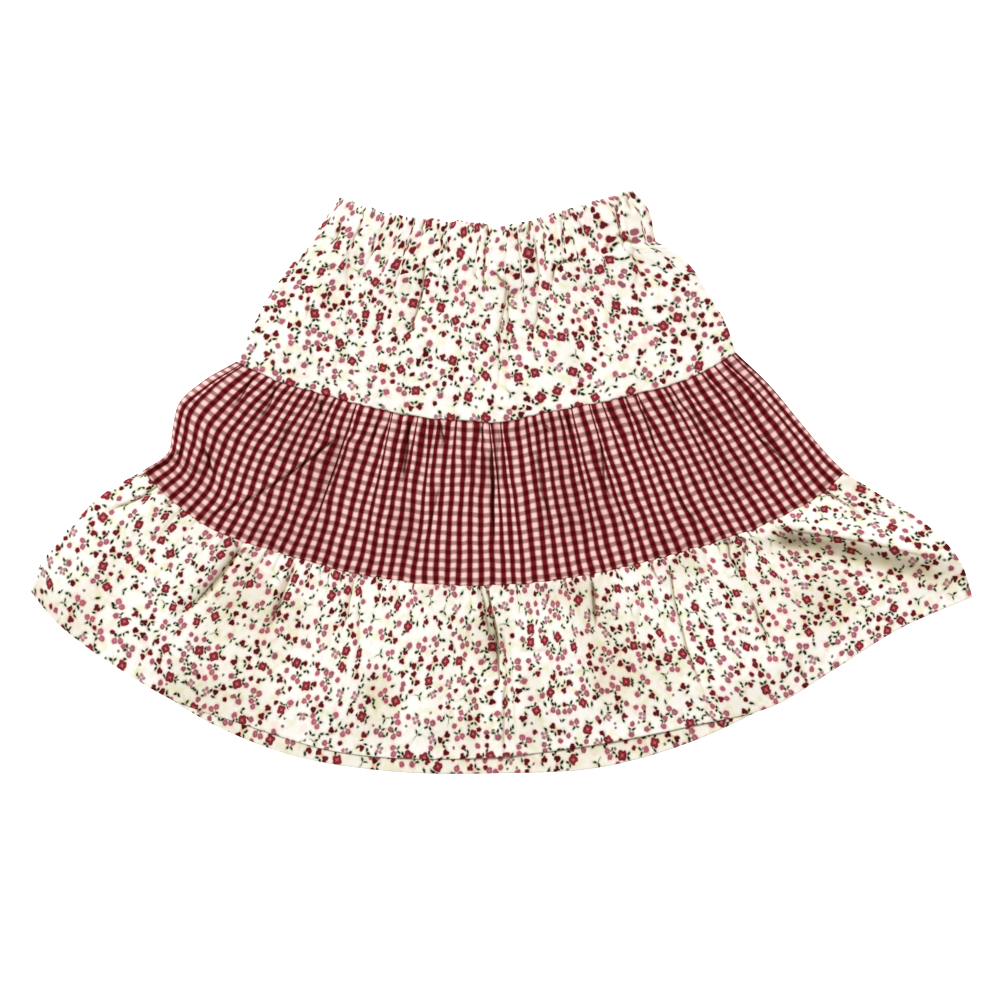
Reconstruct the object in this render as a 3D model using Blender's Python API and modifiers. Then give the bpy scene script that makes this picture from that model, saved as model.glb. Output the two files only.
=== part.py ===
"""Tiered ruffle skirt, laid flat on its back: nine closed cloth pieces.

Frame: metres, +Z up. The skirt lies on the XY plane with its waist towards +Y. The origin is on the
underside, at the middle of the bounding box. Every size below is in millimetres.

Each tier is a grid laid between the seam above it and the seam below it, raised by gathers and
folds, and given the thickness of the cloth by a Solidify modifier. Front pieces lie on back pieces.
"""

from collections import namedtuple

import bpy
import numpy as np

MM = 0.001
NAME = "tiered_ruffle_skirt"

# Cloth and clearances
CLOTH = 1.0  # wall of one layer
CASING = 2.0  # wall of the turned-down head with its elastic
GAP = 0.3  # between layers that lie on each other
SEAM_GAP = 0.5  # between the edges of two tiers at their seam
TURNING = 18.0  # depth of the hem that is turned up inside

# How the front floats on the back
HEM_CLIMB = 14.0  # length over which the front climbs onto the back's turned-up hem
PUFF = 2.0  # rise of the front in its middle
PUFF_REACH = 34.0  # how far from a side edge the rise is full
SEAM_RISE = 5.0  # distance from a seam over which gathers and folds come up
SIDE_RISE = 8.0  # the same from a side edge

# Seams and edges from side to side, as stations "across, up"
Station = namedtuple("Station", "across up")
EDGES = {
    "waist": [
        Station(-124, 219), Station(-93, 208), Station(-55, 202), Station(-16, 199),
        Station(3, 197), Station(22, 201), Station(61, 213), Station(100, 225),
    ],
    "elastic": [
        Station(-148, 184), Station(-116, 173), Station(-98, 165), Station(-58, 161),
        Station(-12, 160), Station(27, 161), Station(60, 169), Station(100, 181), Station(119, 185),
    ],
    "top_seam": [
        Station(-204, 92), Station(-172, 77), Station(-138, 67), Station(-67, 50),
        Station(-22, 46), Station(-1, 45), Station(31, 52), Station(92, 64), Station(152, 82),
        Station(181, 99),
    ],
    "low_seam": [
        Station(-276, 8), Station(-252, -16), Station(-229, -33), Station(-165, -57),
        Station(-91, -75), Station(-1, -80), Station(73, -71), Station(137, -55),
        Station(203, -33), Station(249, -8), Station(265, 7),
    ],
    "front_hem": [
        Station(-363, -84), Station(-343, -108), Station(-324, -124), Station(-285, -150),
        Station(-258, -166), Station(-199, -187), Station(-128, -208), Station(-46, -214), Station(3, -212),
        Station(66, -204), Station(149, -188), Station(210, -173), Station(255, -146),
        Station(306, -114), Station(363, -89),
    ],
    "back_hem": [
        Station(-363, -84), Station(-343, -109), Station(-324, -126), Station(-285, -156),
        Station(-228, -186), Station(-165, -210), Station(-91, -223), Station(-1, -225),
        Station(73, -221), Station(146, -201), Station(208, -175), Station(282, -133), Station(363, -89),
    ],
}

# Side edges between two seams, left and right, as the stations between their ends
SIDES = {
    "casing": ([], [Station(112, 212)]),
    "top": (
        [Station(-166, 161), Station(-178, 144), Station(-189, 124)],
        [Station(134, 177), Station(149, 162), Station(159, 145), Station(172, 124)],
    ),
    "middle": (
        [Station(-231, 76), Station(-248, 60), Station(-253, 40), Station(-256, 23)],
        [Station(206, 75), Station(231, 45), Station(252, 20)],
    ),
    "bottom": (
        [Station(-304, -8), Station(-331, -34), Station(-353, -61)],
        [Station(293, -11), Station(330, -35), Station(355, -64)],
    ),
}

# Gathers below a seam: how many ridges, their height, and how far they run before they fade
LOWEST = 0.45  # the least height of a gather, as a share of the height given
SHORTEST = 0.4  # the least reach of a gather, as a share of the reach given
FADE = 1.5  # how sharply a gather ends at its reach
Gathers = namedtuple("Gathers", "count height reach seed")
GATHERS = {
    "casing": Gathers(24, 2.4, 400, 3),
    "top": Gathers(24, 2.8, 34, 5),
    "middle": Gathers(30, 1.7, 40, 7),
    "bottom": Gathers(38, 2.4, 44, 11),
}

# Single folds of the front, each along a curve through three points, with its half width and its
# height. A negative height is a trough. Each tapers over a fifth of its length at both ends, and
# keeps part of its height where it runs out at the far end.
FOLD_SAMPLES = 25
FOLD_TAPER = 5
FOLD_RUN_OUT = 0.35
Fold = namedtuple("Fold", "x1 y1 x2 y2 x3 y3 half_width height")
FOLDS = {
    "casing": [],
    "top": [
        Fold(-59, 169, -61, 133, -73, 97, 4, -2.0),
        Fold(-52, 167, -52, 136, -62, 105, 6, 2.5),
        Fold(0, 157, 2, 125, -5, 59, 3, -2.0),
        Fold(6, 155, 8, 124, 2, 63, 4, 2.5),
        Fold(-129, 177, -141, 151, -155, 124, 7, 3.0),
        Fold(-109, 167, -115, 147, -120, 121, 6, 3.0),
        Fold(50, 167, 43, 151, 45, 131, 3, -2.0),
        Fold(39, 164, 35, 146, 39, 113, 6, 3.0),
        Fold(90, 177, 98, 151, 107, 121, 7, 3.0),
        Fold(122, 177, 141, 147, 158, 113, 8, 2.5),
        Fold(-89, 161, -97, 131, -110, 90, 8, 2.2),
        Fold(23, 154, 25, 123, 30, 74, 8, 2.0),
    ],
    "middle": [
        Fold(-95, 49, -122, 17, -146, -25, 4, -3.0),
        Fold(-105, 52, -136, 20, -158, -20, 7, 4.0),
        Fold(-59, 43, -78, 10, -97, -23, 6, 3.0),
        Fold(1, 40, -2, -14, -1, -74, 3, -3.0),
        Fold(-6, 40, -9, -14, -8, -74, 4, 3.0),
        Fold(25, 38, 35, -14, 39, -62, 4, -2.0),
        Fold(74, 54, 79, 17, 85, -20, 4, -2.5),
        Fold(85, 20, 119, -9, 157, -36, 6, -2.2),
        Fold(110, 63, 119, 24, 134, -16, 6, 3.5),
        Fold(146, 73, 162, 40, 180, 0, 8, 3.0),
        Fold(180, 74, 197, 40, 223, 0, 6, -2.0),
        Fold(201, 61, 223, 32, 244, 4, 8, 3.0),
        Fold(-250, 15, -228, 18, -205, 32, 6, -3.0),
        Fold(-260, 6, -232, 6, -204, 13, 6, 3.5),
        Fold(-212, 74, -232, 55, -239, 30, 10, 5.0),
        Fold(-184, 74, -193, 47, -207, 20, 8, 3.0),
        Fold(-155, 63, -164, 40, -181, 0, 7, 3.0),
        Fold(-39, 43, -47, 1, -58, -62, 8, 2.2),
        Fold(99, 15, 107, -22, 113, -51, 7, 2.2),
    ],
    "bottom": [
        Fold(-200, -55, -221, -84, -259, -120, 6, -5.0),
        Fold(-213, -50, -236, -80, -272, -110, 10, 6.0),
        Fold(-227, -100, -218, -122, -209, -147, 7, -2.0),
        Fold(-179, -57, -172, -91, -186, -134, 4, -3.5),
        Fold(-162, -65, -159, -99, -174, -147, 8, 5.0),
        Fold(-116, -77, -119, -120, -126, -151, 4, -3.0),
        Fold(-105, -80, -107, -124, -112, -185, 9, 4.0),
        Fold(-9, -85, -4, -130, -5, -197, 5, -6.0),
        Fold(0, -91, 5, -137, 2, -212, 5, 7.0),
        Fold(-18, -85, -15, -137, -21, -212, 10, 5.0),
        Fold(16, -139, 18, -180, 18, -212, 14, -3.0),
        Fold(69, -81, 76, -100, 69, -141, 4, -3.0),
        Fold(81, -84, 89, -124, 96, -199, 10, 5.0),
        Fold(126, -77, 143, -122, 164, -162, 5, -4.0),
        Fold(139, -70, 157, -114, 182, -170, 10, 5.5),
        Fold(187, -43, 193, -91, 218, -159, 5, -3.0),
        Fold(199, -49, 211, -99, 236, -156, 10, 4.0),
        Fold(211, -27, 276, -42, 348, -54, 12, 9.0),
        Fold(223, -39, 288, -62, 347, -86, 11, -4.0),
        Fold(-287, -14, -313, -45, -340, -85, 12, 4.0),
        Fold(-66, -91, -69, -137, -74, -208, 12, 3.0),
        Fold(36, -91, 39, -153, 42, -207, 12, 3.0),
        Fold(283, -72, 270, -107, 258, -141, 12, 3.0),
    ],
}

# Tiers from the waist down, the seams that bound each on the front and on the back, how deep each
# front row lies below the upper seam, and the colours
Tier = namedtuple("Tier", "upper lower back_lower wall rows colour roughness")
IVORY = (0.905, 0.863, 0.760, 1.0)
RED_CHECK = (0.330, 0.060, 0.062, 1.0)
TIERS = {
    "casing": Tier("waist", "elastic", "elastic", CASING, (0, 3, 12, 24, 33, 36), IVORY, 0.85),
    "top": Tier("elastic", "top_seam", "top_seam", CLOTH, (0, 4, 9, 18, 32, 50, 72, 94, 108, 113),
                IVORY, 0.85),
    "middle": Tier("top_seam", "low_seam", "low_seam", CLOTH, (0, 4, 9, 20, 38, 60, 84, 106, 119, 124),
                   RED_CHECK, 0.80),
    "bottom": Tier("low_seam", "front_hem", "back_hem", CLOTH, (0, 4, 9, 18, 29, 41, 54, 68, 84, 108, 132),
                   IVORY, 0.85),
}
NODE_NAMES = {"casing": "waist_casing", "top": "top_tier", "middle": "middle_tier", "bottom": "bottom_tier"}
COLUMNS_A_GATHER = 3
BACK_COLUMNS = 37
BACK_ROWS = 5


def smooth_line(stations, t):
    """Catmull-Rom curve through the stations, as across and up at each t from 0 to 1 of its length."""
    knots = np.array(stations, float)
    steps = np.hypot(*np.diff(knots, axis=0).T)
    along = np.concatenate([[0], np.cumsum(steps)]) / steps.sum()
    slopes = np.gradient(knots, along, axis=0)
    i = np.clip(np.searchsorted(along, t, side="right") - 1, 0, len(along) - 2)
    span = (along[i + 1] - along[i])[..., None]
    f = ((t - along[i]) / span[..., 0])[..., None]
    return (
        (1 + 2 * f) * (1 - f) ** 2 * knots[i]
        + f * (1 - f) ** 2 * slopes[i] * span
        + f**2 * (3 - 2 * f) * knots[i + 1]
        + f**2 * (f - 1) * slopes[i + 1] * span
    )


def ramp(x):
    """0 below 0, 1 above 1, and smooth between them."""
    x = np.clip(x, 0, 1)
    return x * x * (3 - 2 * x)


def plan(tier, side, u, v):
    """Place on the floor of u across and v down a tier: a Coons patch between its four edges."""
    shape = TIERS[tier]
    top = EDGES[shape.upper]
    low = EDGES[shape.back_lower if side == "back" else shape.lower]
    left, right = SIDES[tier]
    left = [top[0]] + left + [low[0]]
    right = [top[-1]] + right + [low[-1]]
    across = u[..., None]
    down = v[..., None]
    corners = (
        (1 - across) * (1 - down) * np.array(top[0])
        + across * (1 - down) * np.array(top[-1])
        + (1 - across) * down * np.array(low[0])
        + across * down * np.array(low[-1])
    )
    return (
        (1 - down) * smooth_line(top, u)
        + down * smooth_line(low, u)
        + (1 - across) * smooth_line(left, v)
        + across * smooth_line(right, v)
        - corners
    )


def gather_phase(u, gathers):
    """Number of gathers left of u, with their spacing drifting by a third either way."""
    wide = 0.0175 * np.sin(2 * np.pi * 3.3 * u + gathers.seed)
    narrow = 0.007 * np.sin(2 * np.pi * 7.1 * u)
    ends = 1 - (2 * u - 1) ** 8
    return gathers.count * (u + (wide + narrow) * ends)


def gather_columns(gathers):
    """Places across a tier, so that each gather has its crest, its flanks and its valley."""
    fine = np.linspace(0, 1, 4001)
    wanted = np.arange(gathers.count * COLUMNS_A_GATHER + 1) / COLUMNS_A_GATHER
    return np.interp(wanted, gather_phase(fine, gathers), fine)


def gather_height(u, depth, gathers):
    """Ridges that rise below the seam and fade at their own depths."""
    uneven = np.random.default_rng(gathers.seed)
    heights = gathers.height * uneven.uniform(LOWEST, 1.0, gathers.count + 1)
    reaches = gathers.reach * uneven.uniform(SHORTEST, 1.0, gathers.count + 1)
    phase = gather_phase(u, gathers)
    ridge = np.clip(phase.astype(int), 0, gathers.count - 1)
    crest = np.sin(np.pi * (phase - ridge)) ** 2
    return heights[ridge] * crest * np.exp(-((depth / reaches[ridge]) ** FADE))


def fold_height(places, folds):
    """Sum of the single folds at each place, each tapering to nothing at both of its ends."""
    total = np.zeros(places.shape[:-1])
    t = np.linspace(0, 1, FOLD_SAMPLES)
    for fold in folds:
        path = smooth_line([(fold.x1, fold.y1), (fold.x2, fold.y2), (fold.x3, fold.y3)], t)
        away = np.hypot(*np.moveaxis(places[..., None, :] - path, -1, 0))
        nearest = away.argmin(axis=-1)
        along = t[nearest]
        taper = ramp(along * FOLD_TAPER) * ramp((1 - along) * FOLD_TAPER + FOLD_RUN_OUT)
        total += fold.height * taper * np.exp(-((away.min(axis=-1) / fold.half_width) ** 2))
    return total


def front_height(tier, places, u, depth):
    """Height of the underside of a front piece above the floor: it rests on the back, puffs up in
    its middle, and carries its gathers and folds, which die away at its seams and sides."""
    shape = TIERS[tier]
    row_length = np.hypot(*np.diff(places, axis=1).transpose(2, 0, 1)).sum(axis=1)[:, None]
    from_side = np.minimum(u, 1 - u) * row_length
    whole = np.hypot(*(places[-1] - places[0]).T)[None, :]
    joined_above = ramp(depth / (SEAM_RISE if tier == "casing" else 2 * SEAM_RISE))
    joined_below = ramp((whole - depth) / SEAM_RISE) if tier != "bottom" else 1.0
    relief = gather_height(u, depth, GATHERS[tier]) + fold_height(places, FOLDS[tier])
    puff = PUFF * ramp(from_side / PUFF_REACH)
    lift = puff + joined_above * joined_below * ramp(from_side / SIDE_RISE) * relief
    floor = shape.wall + GAP
    if tier == "bottom":
        climbed = (depth - whole + TURNING + 1.5 * HEM_CLIMB) / HEM_CLIMB
        floor = floor + (CLOTH + GAP) * ramp(climbed)
    return floor + np.maximum(lift, 0)


def grid_object(name, columns, rows, place, thickness, colour, roughness):
    """A grid of the given columns and rows, laid out by place(u, v) and thickened upwards."""
    bpy.ops.mesh.primitive_grid_add(x_subdivisions=len(columns) - 1, y_subdivisions=len(rows) - 1, size=1)
    piece = bpy.context.object
    piece.name = name
    flat = np.empty(len(piece.data.vertices) * 3)
    piece.data.vertices.foreach_get("co", flat)
    flat = flat.reshape(-1, 3)
    column = np.rint((flat[:, 0] + 0.5) * (len(columns) - 1)).astype(int)
    row = np.rint((0.5 - flat[:, 1]) * (len(rows) - 1)).astype(int)
    u, v = np.meshgrid(columns, rows)
    points = place(u, v)
    piece.data.vertices.foreach_set("co", (points[row, column] * MM).ravel())
    wall = piece.modifiers.new("cloth", "SOLIDIFY")
    wall.thickness = thickness * MM
    wall.offset = 1
    piece.data.shade_smooth()
    piece.data.materials.append(cloth_material(name, colour, roughness))
    return piece


def cloth_material(name, colour, roughness):
    material = bpy.data.materials.new(name)
    material.use_nodes = True
    shader = material.node_tree.nodes["Principled BSDF"]
    shader.inputs["Base Color"].default_value = colour
    shader.inputs["Roughness"].default_value = roughness
    shader.inputs["Metallic"].default_value = 0.0
    return material


def seam_gap_rows(rows):
    """Rows as shares of the tier, drawn in at both seams by half of the gap between two tiers."""
    shares = np.array(rows, float) / rows[-1]
    inset = SEAM_GAP / 2 / rows[-1]
    return inset + shares * (1 - 2 * inset)


def front_piece(tier):
    shape = TIERS[tier]
    rows = seam_gap_rows(shape.rows)

    def place(u, v):
        places = plan(tier, "front", u, v)
        seam_to_seam = plan(tier, "front", u, np.ones_like(v)) - plan(tier, "front", u, np.zeros_like(v))
        depth = v * np.hypot(seam_to_seam[..., 0], seam_to_seam[..., 1])
        return np.dstack([places, front_height(tier, places, u, depth)])

    columns = gather_columns(GATHERS[tier])
    return grid_object(NODE_NAMES[tier] + "_front", columns, rows, place, shape.wall,
                       shape.colour, shape.roughness)


def back_piece(tier):
    shape = TIERS[tier]
    rows = seam_gap_rows(np.linspace(0, shape.rows[-1], BACK_ROWS))

    def place(u, v):
        return np.dstack([plan(tier, "back", u, v), np.zeros_like(u)])

    return grid_object(NODE_NAMES[tier] + "_back", np.linspace(0, 1, BACK_COLUMNS), rows, place,
                       shape.wall, shape.colour, shape.roughness)


def hem_turning():
    """The back's hem allowance: its lowest strip, from the back's own points, moved up onto it."""
    tier = TIERS["bottom"]
    share = TURNING / tier.rows[-1]
    last = seam_gap_rows(tier.rows)[-1]

    def place(u, v):
        return np.dstack([plan("bottom", "back", u, v), np.full_like(u, CLOTH + GAP)])

    return grid_object("back_hem_turning", np.linspace(0, 1, BACK_COLUMNS), (last - share, last), place,
                       CLOTH, tier.colour, tier.roughness)


def clear_scene():
    for thing in list(bpy.data.objects):
        bpy.data.objects.remove(thing, do_unlink=True)


def main():
    clear_scene()
    skirt = bpy.data.collections.new(NAME)
    bpy.context.scene.collection.children.link(skirt)
    root = bpy.data.objects.new(NAME + "_root", None)
    skirt.objects.link(root)
    pieces = [front_piece(tier) for tier in TIERS] + [back_piece(tier) for tier in TIERS]
    pieces.append(hem_turning())
    for piece in pieces:
        piece.parent = root
        for holder in list(piece.users_collection):
            holder.objects.unlink(piece)
        skirt.objects.link(piece)
    corners = np.array([corner for piece in pieces for corner in piece.bound_box])
    middle = (corners.min(axis=0) + corners.max(axis=0)) / 2
    root.location = (-middle[0], -middle[1], 0)


main()
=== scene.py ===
"""Looks of a tiered ruffle skirt, laid flat on its back.

Sizes in the tables are millimetres. Meshes are metres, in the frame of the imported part: the skirt
lies on the XY plane with its waist towards +Y and its underside at Z = 0.
"""

from collections import namedtuple

import bpy
import numpy as np
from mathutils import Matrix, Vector


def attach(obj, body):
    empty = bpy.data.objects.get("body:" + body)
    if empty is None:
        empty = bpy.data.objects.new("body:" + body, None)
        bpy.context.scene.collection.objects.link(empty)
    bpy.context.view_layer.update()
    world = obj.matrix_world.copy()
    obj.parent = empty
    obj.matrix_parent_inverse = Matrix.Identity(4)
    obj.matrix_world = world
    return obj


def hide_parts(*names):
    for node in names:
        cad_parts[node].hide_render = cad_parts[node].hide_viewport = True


bl_info = {
    "name": "Tiered Ruffle Skirt",
    "version": (1, 0, 0),
    "blender": (4, 5, 0),
    "location": "View3D > Sidebar > Skirt",
    "description": "Lays out a gathered three-tier cotton skirt on a studio floor",
    "category": "Add Mesh",
}

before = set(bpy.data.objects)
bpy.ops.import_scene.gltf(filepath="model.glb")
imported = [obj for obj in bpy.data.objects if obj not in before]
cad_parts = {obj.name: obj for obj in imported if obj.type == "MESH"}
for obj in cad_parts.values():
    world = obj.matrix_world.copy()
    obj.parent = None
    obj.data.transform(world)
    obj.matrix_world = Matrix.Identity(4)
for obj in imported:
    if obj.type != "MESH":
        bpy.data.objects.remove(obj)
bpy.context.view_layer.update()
MM = 0.001

# ---------------------------------------------------------------- seams and edges

# Seams and edges from side to side, as (across, up) at each station
EDGES = {
    "waist": [(-124, 219), (-93, 208), (-55, 202), (-16, 199), (3, 197), (22, 201), (61, 213), (100, 225)],
    "elastic": [
        (-148, 184), (-116, 173), (-98, 165), (-58, 161), (-12, 160), (27, 161), (60, 169), (100, 181),
        (119, 185),
    ],
    "top_seam": [
        (-204, 92), (-172, 77), (-138, 67), (-67, 50), (-22, 46), (-1, 45), (31, 52), (92, 64), (152, 82),
        (181, 99),
    ],
    "low_seam": [
        (-276, 8), (-252, -16), (-229, -33), (-165, -57), (-91, -75), (-1, -80), (73, -71), (137, -55),
        (203, -33), (249, -8), (265, 7),
    ],
    "front_hem": [
        (-363, -84), (-343, -108), (-324, -124), (-285, -150), (-258, -166), (-199, -187), (-128, -208),
        (-46, -214), (3, -212), (66, -204), (149, -188), (210, -173), (255, -146), (306, -114), (363, -89),
    ],
    "back_hem": [
        (-363, -84), (-343, -107), (-324, -122), (-285, -148), (-258, -166), (-228, -184), (-165, -210),
        (-91, -223), (-1, -225), (73, -221), (146, -201), (200, -176), (248, -147), (300, -115), (363, -88.5),
    ],
}

# Side edges between two seams, left and right, as the stations between their ends
SIDES = {
    "casing": ([], [(112, 212)]),
    "top": ([(-166, 161), (-178, 144), (-189, 124)], [(134, 177), (149, 162), (159, 145), (172, 124)]),
    "middle": ([(-231, 76), (-248, 60), (-253, 40), (-256, 23)], [(206, 75), (231, 45), (252, 20)]),
    "bottom": ([(-304, -8), (-331, -34), (-353, -61)], [(293, -11), (330, -35), (355, -64)]),
}
EDGE_SAMPLES = 200  # along an edge, to find its highest and lowest place
BULGE_FADE = 9  # power of the share across, by which the bulge of a side edge fades inwards

# ---------------------------------------------------------------- folds and gathers

# A fold follows a curve through three points. Its sharp crease runs along the curve, `line` deep. A
# ridge, or a hollow where `height` is below 0, stands `crest` away from it, towards the left hand of
# someone who walks along the curve, with half widths `before` and `after` its crest. `widen` is what
# it gains in width by its end, as a share. `hidden` is the width of cloth that the crease swallows.
# Each row of the table is one fold.
Fold = namedtuple("Fold", "x1 y1 x2 y2 x3 y3 line crest before after height widen hidden")
FOLDS = {
    "upper": [
        (-122, 200, -126, 189, -128, 178, 0.8, 0, 2.2, 2.2, -0.49, 0.5, 6),
        (-107, 201, -112, 187, -114, 175, 0.7, 0, 1.8, 1.8, -0.25, 0.5, 6),
        (-116, 178, -118, 164, -119, 147, 0.4, 1, 3, 6, -0.78, 0.6, 4),
        (-59, 201, -60, 194, -61, 184, 1.1, 0, 1.8, 1.8, -0.34, 0.3, 7),
        (-47, 198, -45, 184, -37, 171, 0.7, 0, 1.8, 1.8, -0.25, 0.5, 6),
        (-57, 174, -62, 138, -78, 98, 1.0, 0, 3, 2.4, -0.64, 0.6, 6),
        (-15, 201, -11, 196, -9, 186, 1.1, 0, 2, 1.8, -0.34, 0.3, 5),
        (-11, 187, -12, 164, -13, 137, 1, 0, 1.6, 1.6, -0.2, 0.4, 5),
        (-5, 161, 2, 154, 8, 149, 1.4, 0, 2.2, 2.2, -0.54, 0.3, 1),
        (4, 154, 0, 115, -3, 63, 0.8, 2, 2.6, 3.8, -0.68, 0.6, 5),
        (7, 151, 6, 123, 5, 86, 0.6, 0, 1.4, 1.4, -0.15, 0.5, 3),
        (23, 202, 22, 194, 22, 185, 1.1, 0, 1.8, 1.8, -0.34, 0.3, 6),
        (25, 191, 28, 169, 29, 137, 0.5, 0, 2, 2, -0.45, 0.5, 5),
        (52, 171, 42, 164, 40, 147, 1.3, 0, 2.2, 1.8, -0.54, 0.3, 3),
        (47, 203, 48, 184, 46, 167, 0.7, 0, 1.6, 1.6, -0.2, 0.4, 6),
        (59, 206, 64, 192, 74, 178, 0.7, 0, 1.8, 1.8, -0.25, 0.5, 6),
        (99, 224, 98, 216, 101, 204, 1, 0, 2, 2, -0.39, 0.3, 5),
        (92, 221, 90, 206, 95, 184, 0.8, 0, 2, 2, -0.34, 0.4, 6),
        (89, 191, 99, 184, 107, 181, 1.4, 0, 2.8, 2.8, -0.68, 0.2, 2),
        (101, 181, 104, 167, 102, 141, 0.4, 1, 3.4, 4.4, -0.78, 0.6, 5),
        (30, 140, 27, 123, 22, 104, 0.8, 0, 1.6, 1.6, -0.15, 0.5, 2),
        (-117, 132, -118, 123, -119, 112, 0.7, 0, 1.5, 1.5, -0.1, 0.5, 1),
        (-148, 144, -149, 134, -149, 121, 0.7, 0, 1.5, 1.5, -0.1, 0.5, 1),
    ],
    "middle": [
        (-188, 84, -199, 67, -211, 49, 1.1, 0, 1.8, 1.8, -0.45, 0.5, 1.2),
        (-173, 77, -179, 57, -192, 35, 1.1, 0, 1.8, 1.8, -0.45, 0.5, 1.2),
        (-137, 64, -138, 57, -138, 48, 1.2, 0, 1.8, 1.8, -0.52, 0.3, 1.2),
        (-119, 40, -167, 2, -252, -40, 1.2, -2.2, 2.4, 1.7, 1.5, 0.1, 2.4),
        (-161, 44, -169, 30, -172, 17, 1, 0, 1.8, 1.8, -0.45, 0.4, 1.2),
        (-118, 38, -129, 5, -148, -40, 0.4, 0, 4, 4, -0.8, 0.2, 8),
        (-96, 47, -97, 37, -98, 24, 1, 0, 1.6, 1.6, -0.39, 0.4, 1.2),
        (-229, 27, -223, 13, -221, 0, 1.2, 0, 2.4, 2, -0.85, 0.3, 1.2),
        (-243, 23, -256, 18, -272, 8, 1, -2.5, 4, 2, 2.4, 0.3, 0),
        (-226, 4, -250, 14, -280, 4, 0.8, 0, 2.4, 2.4, -0.6, 0.3, 0),
        (-69, 47, -72, 20, -78, -10, 1.3, 0, 2.8, 2.2, -1.1, 0, 2.4),
        (-47, -3, -52, -25, -57, -52, 1, 0, 1.6, 1.6, -0.33, 0.5, 1.2),
        (-47, 47, -45, 35, -45, 23, 1.3, 0, 2, 2, -0.78, 0.2, 1.8),
        (-24, 18, -24, 9, -24, -2, 0.8, 0, 1.6, 1.6, -0.26, 0.3, 1.8),
        (-15, 44, -13, 33, -12, 23, 1, 0, 1.6, 1.6, -0.39, 0.3, 1.2),
        (-7, 28, -6, -16, -2, -62, 1.3, 0, 2.2, 1.8, -0.85, 0.4, 1.8),
        (-2, 45, -2, 15, -2, -16, 0.7, 0, 2, 2, -0.59, 0.2, 2.4),
        (35, 44, 36, 40, 36, 35, 1, 0, 1.6, 1.6, -0.26, 0.2, 0.6),
        (28, 26, 34, -18, 39, -54, 1.1, 0, 1.8, 1.8, -0.52, 0.5, 1.8),
        (52, 51, 52, 43, 53, 33, 1.1, 0, 1.6, 1.6, -0.39, 0.3, 1.2),
        (78, 32, 79, 3, 87, -22, 1.3, 0, 2.2, 1.8, -0.65, 0.3, 1.8),
        (109, 58, 116, 36, 122, 13, 1.1, 0, 1.8, 1.8, -0.52, 0.4, 1.8),
        (132, 63, 133, 56, 136, 49, 1, 0, 1.6, 1.6, -0.33, 0.3, 0.6),
        (145, 60, 155, 44, 163, 24, 1.2, 0, 1.9, 1.9, -0.52, 0.4, 1.8),
        (159, 57, 164, 48, 171, 38, 1, 0, 1.6, 1.6, -0.39, 0.3, 1.2),
        (176, 63, 183, 51, 190, 40, 1, 0, 1.8, 1.6, -0.45, 0.3, 1.2),
        (182, 77, 185, 71, 188, 65, 1, 0, 1.6, 1.6, -0.26, 0.3, 0.6),
        (132, -3, 145, -25, 158, -46, 1.1, 0, 1.8, 1.8, -0.52, 0.5, 1.8),
        (196, 35, 217, 18, 236, 3, 1, 1, 2.4, 4, -0.98, 0.5, 1.8),
    ],
    "bottom": [
        (-196, -47, -222, -79, -256, -113, 0.3, 0, 3.2, 3.2, -1.6, 0.5, 5),
        (-262, -2, -282, -15, -312, -28, 1.2, 0, 2.4, 2.4, -0.39, 0.4, 3),
        (-156, -59, -165, -83, -184, -122, 0.4, 0, 2.6, 2.6, -1.2, 0.8, 4),
        (-113, -72, -116, -94, -124, -124, 0.8, 0, 3, 2.8, -0.44, 1.4, 4),
        (-108, -90, -109, -122, -107, -154, 0.4, 0, 2.2, 2.2, -0.34, 0.5, 3),
        (-11, -77, -3, -122, -2, -177, 1.2, -1, 5, 3.5, -0.88, 0.3, 11),
        (-17, -78, -12, -100, -6, -124, 0.6, 0, 3, 3, -0.6, 0, 5),
        (2, -112, 5, -150, 7, -216, 0.35, 0, 2.4, 2.4, -0.3, 0.3, 4),
        (7, -124, 10, -160, 12, -216, 0.3, 0, 2.4, 2.4, -0.3, 0.3, 4),
        (-46, -112, -42, -160, -40, -240, 0, 0, 13, 13, -0.5, 0.2, 0),
        (4, -153, 3, -184, 2, -222, 0.8, -2.4, 2.6, 2.2, 1.2, 0.2, 4),
        (27, -141, 28, -177, 28, -238, 0, 0, 9, 11, -0.78, 0.2, 0),
        (13, -131, 34, -131, 56, -132, 0.4, 0, 2.2, 2.2, -0.49, 0.3, 0),
        (-18, -156, -20, -184, -22, -238, 0, 0, 6, 7, -0.68, 0.3, 1),
        (71, -75, 72, -94, 72, -116, 1.1, 0, 2.2, 2.2, -0.54, 1, 3),
        (130, -64, 141, -121, 166, -182, 1, 0, 2, 2.2, -0.54, 1.2, 4),
        (171, -43, 178, -60, 187, -79, 1.1, 1, 2, 6, -0.64, 0.3, 2),
        (188, -44, 188, -60, 187, -78, 0.9, -1, 5, 2, -0.44, 0.3, 1),
        (193, -90, 201, -111, 208, -136, 1.1, 1, 2, 5, -0.58, 0.8, 3),
        (115, -65, 118, -71, 122, -79, 1, 0, 1.6, 1.6, -0.25, 0.4, 1),
        (109, -95, 104, -113, 99, -131, 0.6, 0, 1.8, 1.8, -0.2, 0.6, 2),
        (201, -33, 269, -45, 400, -74, 0.8, 1.5, 6, 10, 4.2, 0.3, 0),
        (200, -40, 276, -58, 390, -88, 0, 1, 11, 8, -2.1, 0.3, 0),
        (162, -45, 203, -44, 253, -47, 0, -3, 8, 4, -0.73, 0, 0),
        (250, -7, 255, -11, 262, -17, 0.8, 0, 1.8, 1.8, -0.25, 0.4, 1),
        (265, -17, 276, -25, 288, -33, 0.5, 0, 2, 2, -0.25, 0.4, 1),
    ],
}
FOLD_SAMPLES = 25  # along its curve
FOLD_SEED = 300
FOLD_RISE = 9.0  # a fold rises over a ninth of its length
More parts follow.
